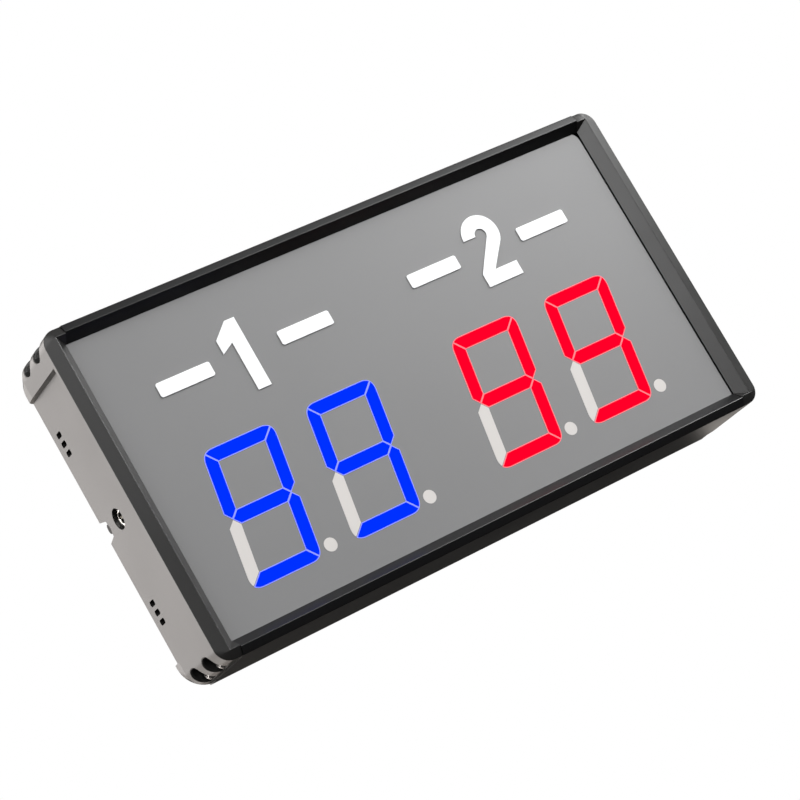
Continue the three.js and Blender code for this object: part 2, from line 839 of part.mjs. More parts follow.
// Plug socket
place('plug_socket_body', socketBody(), blackPlastic());
place('plug_socket_sleeve', socketSleeve(), steel());
place('plug_socket_pin', socketPin(), steel());
place('notch_grommet', bar(grommetOval(0), touch - wallOuterX, -wallInnerX, roundSides), blackRubber());

// Board and the parts on it
place('main_board', mainBoard(), boardLaminate());
place('controller_chip', chip(controller, 0), blackPlastic());
place('driver_chip_left', chip(driver, leftPairCentre), blackPlastic());
place('driver_chip_right', chip(driver, rightPairCentre), blackPlastic());
const crystalX = (controller.length + crystal.length) / 2 + crystal.gap;
place('crystal', boardBlock({ ...crystal, rise: controller.rise }, crystalX), steel());
place('regulator', boardBlock(regulator, regulator.inset - boardHalfX), blackPlastic());
place('capacitor', boardCan(capacitor, capacitor.inset - boardHalfX), blackPlastic());
place('sounder', boardCan(sounder, boardHalfX - sounder.inset), blackPlastic());
const receiverX = boardHalfX - receiver.inset;
place('receiver_header', boardBlock({ ...receiverHeader, rise: receiver.rise }, receiverX), blackPlastic());
place('receiver_board', receiverBoard(receiverX), boardLaminate());

// Header marks
place('header_numeral_1', mark(numeralOne(leftMarkCentre)), markVinyl());
place('header_numeral_2', mark(numeralTwo(rightMarkCentre), numeralSteps), markVinyl());
let barNumber = 0;
for (const centreX of [leftMarkCentre, rightMarkCentre]) {
  for (const side of [-1, 1]) {
    barNumber += 1;
    place(`header_bar_${barNumber}`, mark(markBar(centreX, side)), markVinyl());
  }
}

// The object stands on its bottom rail, with its depth centred on the origin
scoreboard.position.set(0, (ridge - caseDepth) / 2, railHalf);
scoreboard.updateMatrixWorld(true);

export default scoreboard;
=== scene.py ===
"""Looks of a slim electronic scoreboard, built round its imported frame.

Lengths in the dataclasses are millimetres, counted from the middle of the grey panel's front face:
X to the right, Y to the rear, Z up. Meshes are in metres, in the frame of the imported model. The
camera, the lamps and the studio are in metres too, except where a field says millimetres.
"""

import json
import logging
import math
from dataclasses import dataclass, field
from enum import Enum
from typing import Callable, Sequence

import bmesh
import bpy
from mathutils import Matrix, Quaternion, Vector

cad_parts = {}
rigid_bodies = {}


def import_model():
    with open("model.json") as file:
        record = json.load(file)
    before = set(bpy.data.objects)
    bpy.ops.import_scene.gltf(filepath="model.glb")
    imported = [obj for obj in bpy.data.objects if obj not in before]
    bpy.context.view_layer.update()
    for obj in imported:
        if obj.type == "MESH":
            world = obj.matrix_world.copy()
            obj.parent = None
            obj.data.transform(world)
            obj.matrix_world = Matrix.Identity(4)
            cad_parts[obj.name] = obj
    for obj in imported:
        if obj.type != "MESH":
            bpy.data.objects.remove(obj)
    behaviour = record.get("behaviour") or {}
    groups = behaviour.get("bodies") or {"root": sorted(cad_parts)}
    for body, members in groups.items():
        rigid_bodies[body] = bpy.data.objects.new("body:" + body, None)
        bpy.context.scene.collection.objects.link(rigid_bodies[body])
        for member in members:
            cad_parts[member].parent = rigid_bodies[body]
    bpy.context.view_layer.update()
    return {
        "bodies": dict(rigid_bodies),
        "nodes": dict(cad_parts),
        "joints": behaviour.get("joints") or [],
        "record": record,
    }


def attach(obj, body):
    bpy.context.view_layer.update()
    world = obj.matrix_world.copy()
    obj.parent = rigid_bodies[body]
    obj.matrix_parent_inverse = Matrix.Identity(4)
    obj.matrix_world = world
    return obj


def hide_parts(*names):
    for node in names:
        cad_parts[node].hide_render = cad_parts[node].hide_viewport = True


LOG = logging.getLogger("scoreboard")
MM = 0.001
BODY = "root"
PANEL_TO_FRAME = Vector((0.0, -12.65, 58.5))

# Degrees between two faces
FLAT_ANGLE = 0.6
SHARP_ANGLE = 32.0
CASE_SMOOTH = 30.0
TURNED_SMOOTH = 35.0
DIGIT_SMOOTH = 30.0
ROUNDED_SMOOTH = 62.0

# Face layer that marks the rims with the wider smoothing
ROUNDED = "rounded_form"

# Metres within which corners are one
JOIN_DISTANCE = 1e-6

Colour = tuple[float, float, float]
Point = tuple[float, float]
Skin = Callable[[bmesh.types.BMLoop], Vector | None]


def place(x: float, y: float, z: float) -> Vector:
    """Turns a place counted from the panel's middle into the frame.

    Args:
        x: Millimetres to the right.
        y: Millimetres to the rear.
        z: Millimetres up.

    Returns:
        The same place in the frame, in metres.
    """
    return (Vector((x, y, z)) + PANEL_TO_FRAME) * MM


def corner_normal(
    loop: bmesh.types.BMLoop, areas: dict[int, float], limit: float, skin: Skin | None
) -> Vector:
    """Gives the normal that a face's corner shades with.

    Args:
        loop: The corner.
        areas: Area of each face, by its number.
        limit: Angle in radians up to which a neighbouring face shades as one with this face.
        skin: Gives the true normal of a face's corner on a known surface, or None off it.

    Returns:
        The known surface's normal, or else the neighbours', in which large faces count for more.
    """
    known = skin(loop) if skin else None
    if known is not None:
        return known
    own = loop.face.normal
    total = own * areas[loop.face.index]
    for face in loop.vert.link_faces:
        if face is not loop.face and areas[face.index] and face.normal.angle(own, math.pi) < limit:
            total += face.normal * areas[face.index]
    return total.normalized() if total.length else own


def finish_piece(
    bm: bmesh.types.BMesh,
    name: str,
    materials: Sequence[bpy.types.Material],
    smooth: float,
    skin: Skin | None = None,
) -> bpy.types.Object:
    """Makes an object of a finished bmesh and lets it ride on the case.

    Args:
        bm: The piece's mesh, in the frame. It is freed.
        name: The piece's name.
        materials: Its materials, in the order of the faces' material numbers.
        smooth: Degrees below which an edge shades smooth.
        skin: Gives the true normals of a known surface, if the piece has one.

    Returns:
        The new object, riding on the case.
    """
    bm.faces.index_update()
    bm.normal_update()
    areas = {face.index: face.calc_area() for face in bm.faces}
    rounded = bm.faces.layers.int.get(ROUNDED)
    normals = []
    for face in bm.faces:
        limit = math.radians(ROUNDED_SMOOTH if rounded and face[rounded] else smooth)
        normals += [corner_normal(loop, areas, limit, skin) for loop in face.loops]
    mesh = bpy.data.meshes.new(name)
    bm.to_mesh(mesh)
    bm.free()
    for polygon in mesh.polygons:
        polygon.use_smooth = True
    mesh.normals_split_custom_set(normals)
    for material in materials:
        mesh.materials.append(material)
    piece = bpy.data.objects.new(name, mesh)
    bpy.context.scene.collection.objects.link(piece)
    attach(piece, BODY)
    LOG.info("made %s with %d faces", name, len(mesh.polygons))
    return piece


def merged_copy(node: str, frame: dict) -> bmesh.types.BMesh:
    """Copies a node's mesh, joins its loose triangles and melts its flat faces into one each.

    Args:
        node: The node's name.

    Returns:
        A bmesh of the node's solid.
    """
    bm = bmesh.new()
    bm.from_mesh(frame["nodes"][node].data)
    bmesh.ops.remove_doubles(bm, verts=bm.verts, dist=JOIN_DISTANCE)
    flat = math.radians(FLAT_ANGLE)
    bmesh.ops.dissolve_limit(
        bm, angle_limit=flat, verts=bm.verts, edges=bm.edges, delimit=set()
    )
    return bm


def round_edges(
    bm: bmesh.types.BMesh, chosen: Callable[[bmesh.types.BMEdge], bool], width: float, segments: int
) -> None:
    """Rounds the sharp edges of a mesh that a test chooses.

    Args:
        bm: The mesh, changed in place.
        chosen: Says of a sharp edge whether it is rounded.
        width: How far the rounding reaches from the edge, in millimetres.
        segments: How many faces the rounding has across.
    """
    sharp = math.radians(SHARP_ANGLE)
    edges = [
        edge
        for edge in bm.edges
        if len(edge.link_faces) == 2 and edge.calc_face_angle(0.0) > sharp and chosen(edge)
    ]
    bmesh.ops.bevel(
        bm,
        geom=edges,
        offset=width * MM,
        offset_type="OFFSET",
        affect="EDGES",
        segments=segments,
        profile=0.5,
        material=-1,
        clamp_overlap=False,
        loop_slide=True,
    )


class Pattern(Enum):
    """The fine relief of a surface."""

    SPARK_ERODED = "spark eroded"
    DRAWN = "drawn"
    SMOOTH = "smooth"


def new_group(name: str, inputs: dict[str, str], outputs: dict[str, str]) -> bpy.types.NodeTree:
    """Starts a shader node group.

    Args:
        name: The group's name.
        inputs: Input names and their socket types.
        outputs: Output names and their socket types.

    Returns:
        The group, holding its input and output nodes.
    """
    group = bpy.data.node_groups.new(name, "ShaderNodeTree")
    for label, kind in inputs.items():
        group.interface.new_socket(label, in_out="INPUT", socket_type=kind)
    for label, kind in outputs.items():
        group.interface.new_socket(label, in_out="OUTPUT", socket_type=kind)
    group.nodes.new("NodeGroupInput")
    group.nodes.new("NodeGroupOutput")
    return group


class SharedEffects:
    """Node groups that several finishes use."""

    relief_detail = 3.0
    relief_roughness = 0.65
    pit_share = 0.6
    drift_detail = 5.0
    drift_roughness = 0.55
    drift_from = 0.3
    drift_to = 0.7

    @classmethod
    def relief(cls) -> bpy.types.NodeTree:
        """Fine relief of a moulded or drawn surface, as a height.

        Returns:
            The node group, built on the first call.
        """
        name = "surface_relief"
        if name in bpy.data.node_groups:
            return bpy.data.node_groups[name]
        scalar = "NodeSocketFloat"
        group = new_group(name, {"Vector": "NodeSocketVector", "Scale": scalar}, {"Height": scalar})
        start, end = group.nodes["Group Input"], group.nodes["Group Output"]
        coarse = group.nodes.new("ShaderNodeTexNoise")
        coarse.inputs["Detail"].default_value = cls.relief_detail
        coarse.inputs["Roughness"].default_value = cls.relief_roughness
        pits = group.nodes.new("ShaderNodeTexVoronoi")
        pits.feature = "SMOOTH_F1"
        mix = group.nodes.new("ShaderNodeMath")
        mix.operation = "MULTIPLY_ADD"
        mix.inputs[1].default_value = cls.pit_share
        for texture in (coarse, pits):
            group.links.new(start.outputs["Vector"], texture.inputs["Vector"])
            group.links.new(start.outputs["Scale"], texture.inputs["Scale"])
        group.links.new(pits.outputs["Distance"], mix.inputs[0])
        group.links.new(coarse.outputs["Fac"], mix.inputs[2])
        group.links.new(mix.outputs[0], end.inputs["Height"])
        return group

    @classmethod
    def handling(cls) -> bpy.types.NodeTree:
        """Slow drift of tone and gloss, as handling, dust and moulding leave it.

        Returns:
            The node group, built on the first call.
        """
        name = "handling_drift"
        if name in bpy.data.node_groups:
            return bpy.data.node_groups[name]
        scalar = "NodeSocketFloat"
        colour = "NodeSocketColor"
        inputs = {
            "Vector": "NodeSocketVector",
            "Scale": scalar,
            "Darker": colour,
            "Lighter": colour,
            "Least": scalar,
            "Most": scalar,
        }
        group = new_group(name, inputs, {"Color": colour, "Roughness": scalar})
        start, end = group.nodes["Group Input"], group.nodes["Group Output"]
        cloud = group.nodes.new("ShaderNodeTexNoise")
        cloud.inputs["Detail"].default_value = cls.drift_detail
        cloud.inputs["Roughness"].default_value = cls.drift_roughness
        tone = group.nodes.new("ShaderNodeMix")
        tone.data_type = "RGBA"
        gloss = group.nodes.new("ShaderNodeMapRange")
        gloss.inputs["From Min"].default_value = cls.drift_from
        gloss.inputs["From Max"].default_value = cls.drift_to
        group.links.new(start.outputs["Vector"], cloud.inputs["Vector"])
        group.links.new(start.outputs["Scale"], cloud.inputs["Scale"])
        group.links.new(cloud.outputs["Fac"], tone.inputs["Factor"])
        group.links.new(start.outputs["Darker"], tone.inputs["A"])
        group.links.new(start.outputs["Lighter"], tone.inputs["B"])
        group.links.new(cloud.outputs["Fac"], gloss.inputs["Value"])
        group.links.new(start.outputs["Least"], gloss.inputs["To Min"])
        group.links.new(start.outputs["Most"], gloss.inputs["To Max"])
        group.links.new(tone.outputs["Result"], end.inputs["Color"])
        group.links.new(gloss.outputs["Result"], end.inputs["Roughness"])
        return group


# A drawn surface's relief is stretched along X
DRAWN_SCALE = (0.01, 1.0, 1.0)


@dataclass(frozen=True)
class Finish:
    """A surface: its tone and gloss, how far both drift, and its fine relief."""

    name: str
    tone: Colour
    drift: float = 0.06
    drift_scale: float = 30.0
    roughness: float = 0.5
    spread: float = 0.06
    pattern: Pattern = Pattern.SPARK_ERODED
    relief_scale: float = 3000.0
    relief_depth: float = 0.02
    relief_strength: float = 0.3
    metallic: float = 0.0
    specular: float = 0.5
    coat: float = 0.0
    coat_roughness: float = 0.1
    glow: Colour = (0.0, 0.0, 0.0)
    glow_strength: float = 0.0

    def build(self) -> bpy.types.Material:
        """Builds the finish's material.

        Returns:
            The material, made on the first call for this finish.
        """
        if self.name in bpy.data.materials:
            return bpy.data.materials[self.name]
        material = bpy.data.materials.new(self.name)
        material.use_nodes = True
        tree = material.node_tree
        shader = tree.nodes["Principled BSDF"]
        shader.inputs["Metallic"].default_value = self.metallic
        shader.inputs["Specular IOR Level"].default_value = self.specular
        shader.inputs["Coat Weight"].default_value = self.coat
        shader.inputs["Coat Roughness"].default_value = self.coat_roughness
        shader.inputs["Emission Color"].default_value = (*self.glow, 1.0)
        shader.inputs["Emission Strength"].default_value = self.glow_strength
        coordinates = tree.nodes.new("ShaderNodeTexCoord")
        self.add_handling(tree, shader, coordinates)
        if self.pattern is not Pattern.SMOOTH:
            self.add_relief(tree, shader, coordinates)
        return material

    def shade(self, factor: float) -> tuple[float, float, float, float]:
        """Gives the tone times a factor, as an opaque colour."""
        return (*(part * factor for part in self.tone), 1.0)

    def add_handling(
        self, tree: bpy.types.NodeTree, shader: bpy.types.Node, coordinates: bpy.types.Node
    ) -> None:
        """Lets tone and gloss drift over the surface.

        Args:
            tree: The material's node tree.
            shader: Its shader node.
            coordinates: Its Texture Coordinate node.
        """
        drift = tree.nodes.new("ShaderNodeGroup")
        drift.node_tree = SharedEffects.handling()
        drift.inputs["Scale"].default_value = self.drift_scale
        drift.inputs["Darker"].default_value = self.shade(1.0 - self.drift)
        drift.inputs["Lighter"].default_value = self.shade(1.0 + self.drift)
        drift.inputs["Least"].default_value = self.roughness - self.spread
        drift.inputs["Most"].default_value = self.roughness + self.spread
        tree.links.new(coordinates.outputs["Object"], drift.inputs["Vector"])
        tree.links.new(drift.outputs["Color"], shader.inputs["Base Color"])
        tree.links.new(drift.outputs["Roughness"], shader.inputs["Roughness"])

    def add_relief(
        self, tree: bpy.types.NodeTree, shader: bpy.types.Node, coordinates: bpy.types.Node
    ) -> None:
        """Gives the surface its fine relief.

        Args:
            tree: The material's node tree.
            shader: Its shader node.
            coordinates: Its Texture Coordinate node.
        """
        mapping = tree.nodes.new("ShaderNodeMapping")
        if self.pattern is Pattern.DRAWN:
            mapping.inputs["Scale"].default_value = DRAWN_SCALE
        relief = tree.nodes.new("ShaderNodeGroup")
        relief.node_tree = SharedEffects.relief()
        relief.inputs["Scale"].default_value = self.relief_scale
        bump = tree.nodes.new("ShaderNodeBump")
        bump.inputs["Strength"].default_value = self.relief_strength
        bump.inputs["Distance"].default_value = self.relief_depth * MM
        tree.links.new(coordinates.outputs["Object"], mapping.inputs["Vector"])
        tree.links.new(mapping.outputs["Vector"], relief.inputs["Vector"])
        tree.links.new(relief.outputs["Height"], bump.inputs["Height"])
        tree.links.new(bump.outputs["Normal"], shader.inputs["Normal"])


CAP_PLASTIC = Finish(
    "cap_satin_plastic", (0.02, 0.0195, 0.019), roughness=0.32, spread=0.03, relief_strength=0.15
)
RAIL_METAL = Finish(
    "rail_black_anodised",
    (0.008, 0.008, 0.0085),
    roughness=0.3,
    spread=0.02,
    pattern=Pattern.DRAWN,
    relief_scale=2500.0,
    relief_depth=0.01,
    relief_strength=0.05,
)
PANEL_SHEET = Finish(
    "panel_grey_sheet",
    (0.187, 0.187, 0.189),
    drift=0.015,
    roughness=0.38,
    spread=0.02,
    relief_depth=0.004,
    relief_strength=0.1,
)
REAR_SHEET = Finish("rear_black_sheet", (0.025, 0.025, 0.026), roughness=0.55)
PALE_FACE = Finish(
    "display_pale_face", (0.6, 0.575, 0.555), drift=0.02, roughness=0.5, relief_depth=0.004
)
BLUE_LIGHT = Finish(
    "display_blue_light",
    (0.0, 0.005, 0.2),
    roughness=0.6,
    specular=0.0,
    pattern=Pattern.SMOOTH,
    glow=(0.0, 0.025, 1.0),
    glow_strength=1.0,
)
BLUE_HALO = Finish(
    "display_blue_halo",
    (0.27, 0.32, 0.6),
    roughness=0.6,
    specular=0.1,
    pattern=Pattern.SMOOTH,
    glow=(0.0, 0.0, 1.0),
    glow_strength=0.6,
)
RED_LIGHT = Finish(
    "display_red_light",
    (0.2, 0.0, 0.005),
    roughness=0.6,
    specular=0.0,
    pattern=Pattern.SMOOTH,
    glow=(1.0, 0.0, 0.016),
    glow_strength=1.0,
)
RED_HALO = Finish(
    "display_red_halo",
    (0.6, 0.21, 0.25),
    roughness=0.6,
    specular=0.1,
    pattern=Pattern.SMOOTH,
    glow=(1.0, 0.0, 0.0),
    glow_strength=0.6,
)
BLUE_RESIN = Finish("blue_cast_resin", (0.02, 0.06, 0.5), roughness=0.35, relief_depth=0.004)
RED_RESIN = Finish("red_cast_resin", (0.5, 0.02, 0.03), roughness=0.35, relief_depth=0.004)
SHELL_PLASTIC = Finish("display_shell_plastic", (0.6, 0.59, 0.57), roughness=0.5)
MARK_VINYL = Finish(
    "mark_white_vinyl", (0.92, 0.93, 0.94), drift=0.01, roughness=0.45, relief_depth=0.004
)
SCREW_STEEL = Finish(
    "screw_nickel", (0.5, 0.49, 0.48), roughness=0.3, metallic=1.0, relief_depth=0.006
)
CONTACT_METAL = Finish(
    "contact_nickel", (0.8, 0.78, 0.74), roughness=0.16, metallic=1.0, relief_depth=0.002
)
SOCKET_PLASTIC = Finish("socket_black_plastic", (0.02, 0.02, 0.021), roughness=0.4)
GROMMET_RUBBER = Finish("grommet_black_rubber", (0.008, 0.008, 0.008), roughness=0.7)
BOARD_LAMINATE = Finish(
    "board_green_laminate", (0.02, 0.13, 0.05), roughness=0.4, relief_depth=0.01
)
COMPONENT_BLACK = Finish("component_epoxy", (0.02, 0.02, 0.022), roughness=0.55)
CAN_METAL = Finish(
    "can_drawn_metal", (0.66, 0.66, 0.67), roughness=0.3, metallic=1.0, relief_depth=0.004
)


@dataclass
class PhotoCamera:
    """The photograph's camera, solved from the corners of the panel and the case.

    The location is in millimetres and the near and far clips are in metres.
    """

    focal_pixels: float = 2930.01
    frame_pixels: float = 800.0
    sensor: float = 36.0
    location: tuple[float, float, float] = (-491.385, -812.072, -96.579)
    turn: tuple[float, float, float, float] = (0.55923871, 0.76057582, -0.00657726, -0.32974721)
    clip_near: float = 0.01
    clip_far: float = 20.0

    def build(self) -> None:
        """Makes the camera and sets it as the scene's."""
        data = bpy.data.cameras.new("photo_camera")
        data.sensor_width = self.sensor
        data.lens = self.focal_pixels / self.frame_pixels * self.sensor
        data.clip_start = self.clip_near
        data.clip_end = self.clip_far
        camera = bpy.data.objects.new("photo_camera", data)
        bpy.context.scene.collection.objects.link(camera)
        camera.rotation_mode = "QUATERNION"
        camera.rotation_quaternion = Quaternion(self.turn)
        camera.location = Vector(self.location) * MM
        bpy.context.scene.camera = camera
        LOG.info("camera lens %.2f mm", data.lens)


@dataclass(frozen=True)
class SoftLamp:
    """A rectangular lamp that looks at the scoreboard's middle, which its camera doesn't see."""

    name: str
    azimuth: float
    elevation: float
    distance: float
    width: float
    height: float
    radiance: float
    colour: Colour = (1.0, 1.0, 1.0)

    def build(self, target: Vector) -> None:
        """Makes the lamp.

        Args:
            target: The point that it looks at. Azimuths count from its front to the right.
        """
        data = bpy.data.lights.new(self.name, "AREA")
        data.shape = "RECTANGLE"
        data.size = self.width
        data.size_y = self.height
        data.energy = self.radiance * math.pi * self.width * self.height
        data.color = self.colour
        lamp = bpy.data.objects.new(self.name, data)
        turn, rise = math.radians(self.azimuth), math.radians(self.elevation)
        level = math.cos(rise)
        towards = Vector((math.sin(turn) * level, -math.cos(turn) * level, math.sin(rise)))
        lamp.location = target + towards * self.distance
        lamp.rotation_mode = "QUATERNION"
        lamp.rotation_quaternion = towards.to_track_quat("Z", "Y")
        lamp.visible_camera = False
        bpy.context.scene.collection.objects.link(lamp)


@dataclass
class Studio:
    """White ground, pale floor and soft lamps in a room that is dim above and dark below."""

    upper_tone: float = 0.08
    lower_tone: float = 0.02
    upper_from: float = 0.35
    lower_from: float = -0.05
    floor_half: float = 4.0
    floor_drop: float = 0.0004
    fade_from: float = 0.25
    fade_to: float = 0.7
    floor_tone: float = 0.9
    floor_roughness: float = 0.9
    target: tuple[float, float, float] = (0.0, 0.0, 0.0585)
    lamps: tuple[SoftLamp, ...] = (
        SoftLamp("rear_left_lamp", -145.0, 24.0, 2.5, 3.0, 2.2, 3.3, (1.0, 0.95, 0.92)),
        SoftLamp("rear_low_lamp", -160.0, -17.0, 2.2, 1.6, 1.3, 2.3, (1.0, 0.93, 0.88)),
        SoftLamp("rear_low_card", 172.0, -26.0, 2.2, 0.8, 0.9, 0.9, (1.0, 0.9, 0.82)),
        SoftLamp("right_lamp", 61.0, 29.0, 2.2, 2.1, 1.25, 6.1),
        SoftLamp("right_strip", 47.0, 17.0, 2.2, 0.36, 0.5, 24.0),
        SoftLamp("left_lamp", -62.0, 14.0, 2.2, 1.3, 0.7, 4.3),
        SoftLamp("front_lamp", -28.0, 36.0, 2.2, 3.3, 1.9, 2.3),
        SoftLamp("rear_right_lamp", 122.0, 22.0, 2.2, 1.2, 0.35, 1.8),
        SoftLamp("rear_card", 150.0, 5.0, 2.0, 0.8, 0.7, 0.4, (1.0, 0.93, 0.86)),
        SoftLamp("low_card", 110.5, -19.9, 0.2215, 0.09, 0.05, 0.75, (1.0, 0.93, 0.86)),
    )

    def build(self) -> None:
        """Makes the world, the floor and the lamps."""
        scene = bpy.context.scene
        scene.view_settings.view_transform = "Standard"
        self.build_world(scene)
        self.build_floor()
        for lamp in self.lamps:
            lamp.build(Vector(self.target))

    def build_world(self, scene: bpy.types.Scene) -> None:
        """Makes a world that is white to the camera and lights as a room with a dark floor would.

        Args:
            scene: The scene that it lights.
        """
        world = bpy.data.worlds.new("studio_world")
        scene.world = world
        world.use_nodes = True
        tree = world.node_tree
        room = tree.nodes["Background"]
        room.inputs["Color"].default_value = (1.0, 1.0, 1.0, 1.0)
        white = tree.nodes.new("ShaderNodeBackground")
        white.inputs["Color"].default_value = (1.0, 1.0, 1.0, 1.0)
        white.inputs["Strength"].default_value = 1.0
        direction = tree.nodes.new("ShaderNodeTexCoord")
        parts = tree.nodes.new("ShaderNodeSeparateXYZ")
        tone = tree.nodes.new("ShaderNodeMapRange")
        tone.interpolation_type = "SMOOTHSTEP"
        tone.inputs["From Min"].default_value = self.lower_from
        tone.inputs["From Max"].default_value = self.upper_from
        tone.inputs["To Min"].default_value = self.lower_tone
        tone.inputs["To Max"].default_value = self.upper_tone
        path = tree.nodes.new("ShaderNodeLightPath")
        mix = tree.nodes.new("ShaderNodeMixShader")
        tree.links.new(direction.outputs["Generated"], parts.inputs["Vector"])
        tree.links.new(parts.outputs["Z"], tone.inputs["Value"])
        tree.links.new(tone.outputs["Result"], room.inputs["Strength"])
        tree.links.new(path.outputs["Is Camera Ray"], mix.inputs[0])
        tree.links.new(room.outputs[0], mix.inputs[1])
        tree.links.new(white.outputs[0], mix.inputs[2])
        tree.links.new(mix.outputs[0], tree.nodes["World Output"].inputs["Surface"])

    def build_floor(self) -> None:
        """Makes a pale floor that shows from above and is clear from below."""
        bm = bmesh.new()
        bmesh.ops.create_grid(bm, x_segments=1, y_segments=1, size=self.floor_half)
        bmesh.ops.translate(bm, verts=bm.verts, vec=(0.0, 0.0, -self.floor_drop))
        mesh = bpy.data.meshes.new("floor")
        bm.to_mesh(mesh)
        bm.free()
        floor = bpy.data.objects.new("floor", mesh)
        bpy.context.scene.collection.objects.link(floor)
        mesh.materials.append(self.floor_material())

    def floor_material(self) -> bpy.types.Material:
        """Makes the floor's material.

        Returns:
            A pale diffuse that fades to white and that only the camera sees, and only from above.
        """
        material = bpy.data.materials.new("floor_pale")
        material.use_nodes = True
        tree = material.node_tree
        shader = tree.nodes["Principled BSDF"]
        shader.inputs["Base Color"].default_value = (*[self.floor_tone] * 3, 1.0)
        shader.inputs["Roughness"].default_value = self.floor_roughness
        shader.inputs["Specular IOR Level"].default_value = 0.0
        white = tree.nodes.new("ShaderNodeEmission")
        white.inputs["Strength"].default_value = 1.0
        coordinates = tree.nodes.new("ShaderNodeTexCoord")
        reach = tree.nodes.new("ShaderNodeVectorMath")
        reach.operation = "LENGTH"
        fade = tree.nodes.new("ShaderNodeMapRange")
        fade.interpolation_type = "SMOOTHSTEP"
        fade.inputs["From Min"].default_value = self.fade_from
        fade.inputs["From Max"].default_value = self.fade_to
        ground = tree.nodes.new("ShaderNodeMixShader")
        tree.links.new(coordinates.outputs["Object"], reach.inputs[0])
        tree.links.new(reach.outputs["Value"], fade.inputs["Value"])
        tree.links.new(fade.outputs["Result"], ground.inputs[0])
        tree.links.new(shader.outputs[0], ground.inputs[1])
        tree.links.new(white.outputs[0], ground.inputs[2])
        clear = tree.nodes.new("ShaderNodeBsdfTransparent")
        path = tree.nodes.new("ShaderNodeLightPath")
        side = tree.nodes.new("ShaderNodeNewGeometry")
        above = tree.nodes.new("ShaderNodeMath")
        above.operation = "SUBTRACT"
        above.use_clamp = True
        mix = tree.nodes.new("ShaderNodeMixShader")
        tree.links.new(path.outputs["Is Camera Ray"], above.inputs[0])
        tree.links.new(side.outputs["Backfacing"], above.inputs[1])
        tree.links.new(above.outputs[0], mix.inputs[0])
        tree.links.new(clear.outputs[0], mix.inputs[1])
        tree.links.new(ground.outputs[0], mix.inputs[2])
        tree.links.new(mix.outputs[0], tree.nodes["Material Output"].inputs["Surface"])
        return material


@dataclass(frozen=True)
class CapSkin:
    """The end caps' outer surface: rounded rectangles, joined from the ridge to the rear.

    Each station holds a depth, half the width, half the height and the corners' radius. A stretch
    is what lies between two stations, and the last stretch is the rounding at the rear. The slopes
    from the side walls to the corner blocks shade as the walls do.
    """

    stations: tuple[tuple[float, float, float, float], ...] = (
        (-3.7, 108.633, 55.31, 0.0),
        (-1.93, 112.843, 58.38, 5.2),
        (24.0, 112.743, 58.38, 6.0),
        (28.2, 112.443, 58.38, 9.2),
        (29.0, 111.643, 57.58, 8.4),
    )
    tolerance: float = 0.12
    least_reach: float = 0.02
    agreement: float = 0.965
    rear_agreement: float = 0.6
    rear_face: float = 0.95
    sliver: float = 0.04
    slope_rise: float = 0.94
    slope_tolerance: float = 0.01
    slope_from: float = 47.5
    slope_to: float = 49.0

    @property
    def last(self) -> int:
        """The number of the last stretch."""
        return len(self.stations) - 2

    def stretch(self, face: bmesh.types.BMFace) -> int | None:
        """Finds the stretch that a face lies in.

        Args:
            face: The face.

        Returns:
            The stretch's number, or None before the first station and behind the last.
        """
        depth = face.calc_center_median().y / MM - PANEL_TO_FRAME.y
        for number in range(self.last + 1):
            if self.stations[number][0] <= depth <= self.stations[number + 1][0]:
                return number
        return None

    def on_slope(self, face: bmesh.types.BMFace) -> bool:
        """Says whether a face is the slope from a side wall to a corner block.

        Args:
            face: The face.

        Returns:
            Whether its tilt and its height are those of the slope.
        """
        height = abs(face.calc_center_median().z / MM - PANEL_TO_FRAME.z)
        off = abs(abs(face.normal.z) - self.slope_rise)
        return off < self.slope_tolerance and self.slope_from < height < self.slope_to

    def normal_at(self, spot: Vector, number: int, own: Vector) -> Vector | None:
        """Gives the surface's normal.

        Args:
            spot: A place in the frame, in metres.
            number: The stretch of the face that the place belongs to.
            own: The face's own normal, which stands in at the ridge's sharp corners.

        Returns:
            The normal, or None where the place isn't on the surface.
        """
        x, y, z = spot / MM - PANEL_TO_FRAME
        near, far = self.stations[number], self.stations[number + 1]
        run = far[0] - near[0]
        share = (y - near[0]) / run
        half_x, half_z, radius = (n + (f - n) * share for n, f in zip(near[1:], far[1:]))
        grow_x, grow_z, grow_radius = ((f - n) / run for n, f in zip(near[1:], far[1:]))
        across, up = max(abs(x) - half_x + radius, 0.0), max(abs(z) - half_z + radius, 0.0)
        reach = math.hypot(across, up)
        if abs(reach - radius) > self.tolerance:
            return None
        if reach < self.least_reach:
            return own if min(abs(x) - half_x, abs(z) - half_z) > -self.tolerance else None
        across, up = across / reach, up / reach
        growth = (grow_x - grow_radius) * across + (grow_z - grow_radius) * up + grow_radius
        out = Vector((math.copysign(across, x), 0.0, math.copysign(up, z)))
        if number == self.last:
            turn = min(max(share, 0.0), 1.0) * math.pi / 2
            return out * math.cos(turn) + Vector((0.0, math.sin(turn), 0.0))
        return (out - Vector((0.0, growth, 0.0))).normalized()

    def __call__(self, loop: bmesh.types.BMLoop) -> Vector | None:
        """Gives the normal at a face's corner, if the whole face lies on the surface.

        Args:
            loop: The corner.

        Returns:
            The normal, or None off the surface.
        """
        face = loop.face
        if self.on_slope(face):
            return Vector((math.copysign(1.0, face.normal.x), 0.0, 0.0))
        number = self.stretch(face)
        if number is None or (number == self.last and face.normal.y > self.rear_face):
            return None
        agreement = self.rear_agreement if number == self.last else self.agreement
        longest = max(edge.calc_length() for edge in face.edges)
        if face.calc_area() < self.sliver * MM * longest:
            agreement = -1.0
        for vert in face.verts:
            normal = self.normal_at(vert.co, number, face.normal)
            if normal is None or normal.dot(face.normal) < agreement:
                return None
        return self.normal_at(loop.vert.co, number, face.normal)


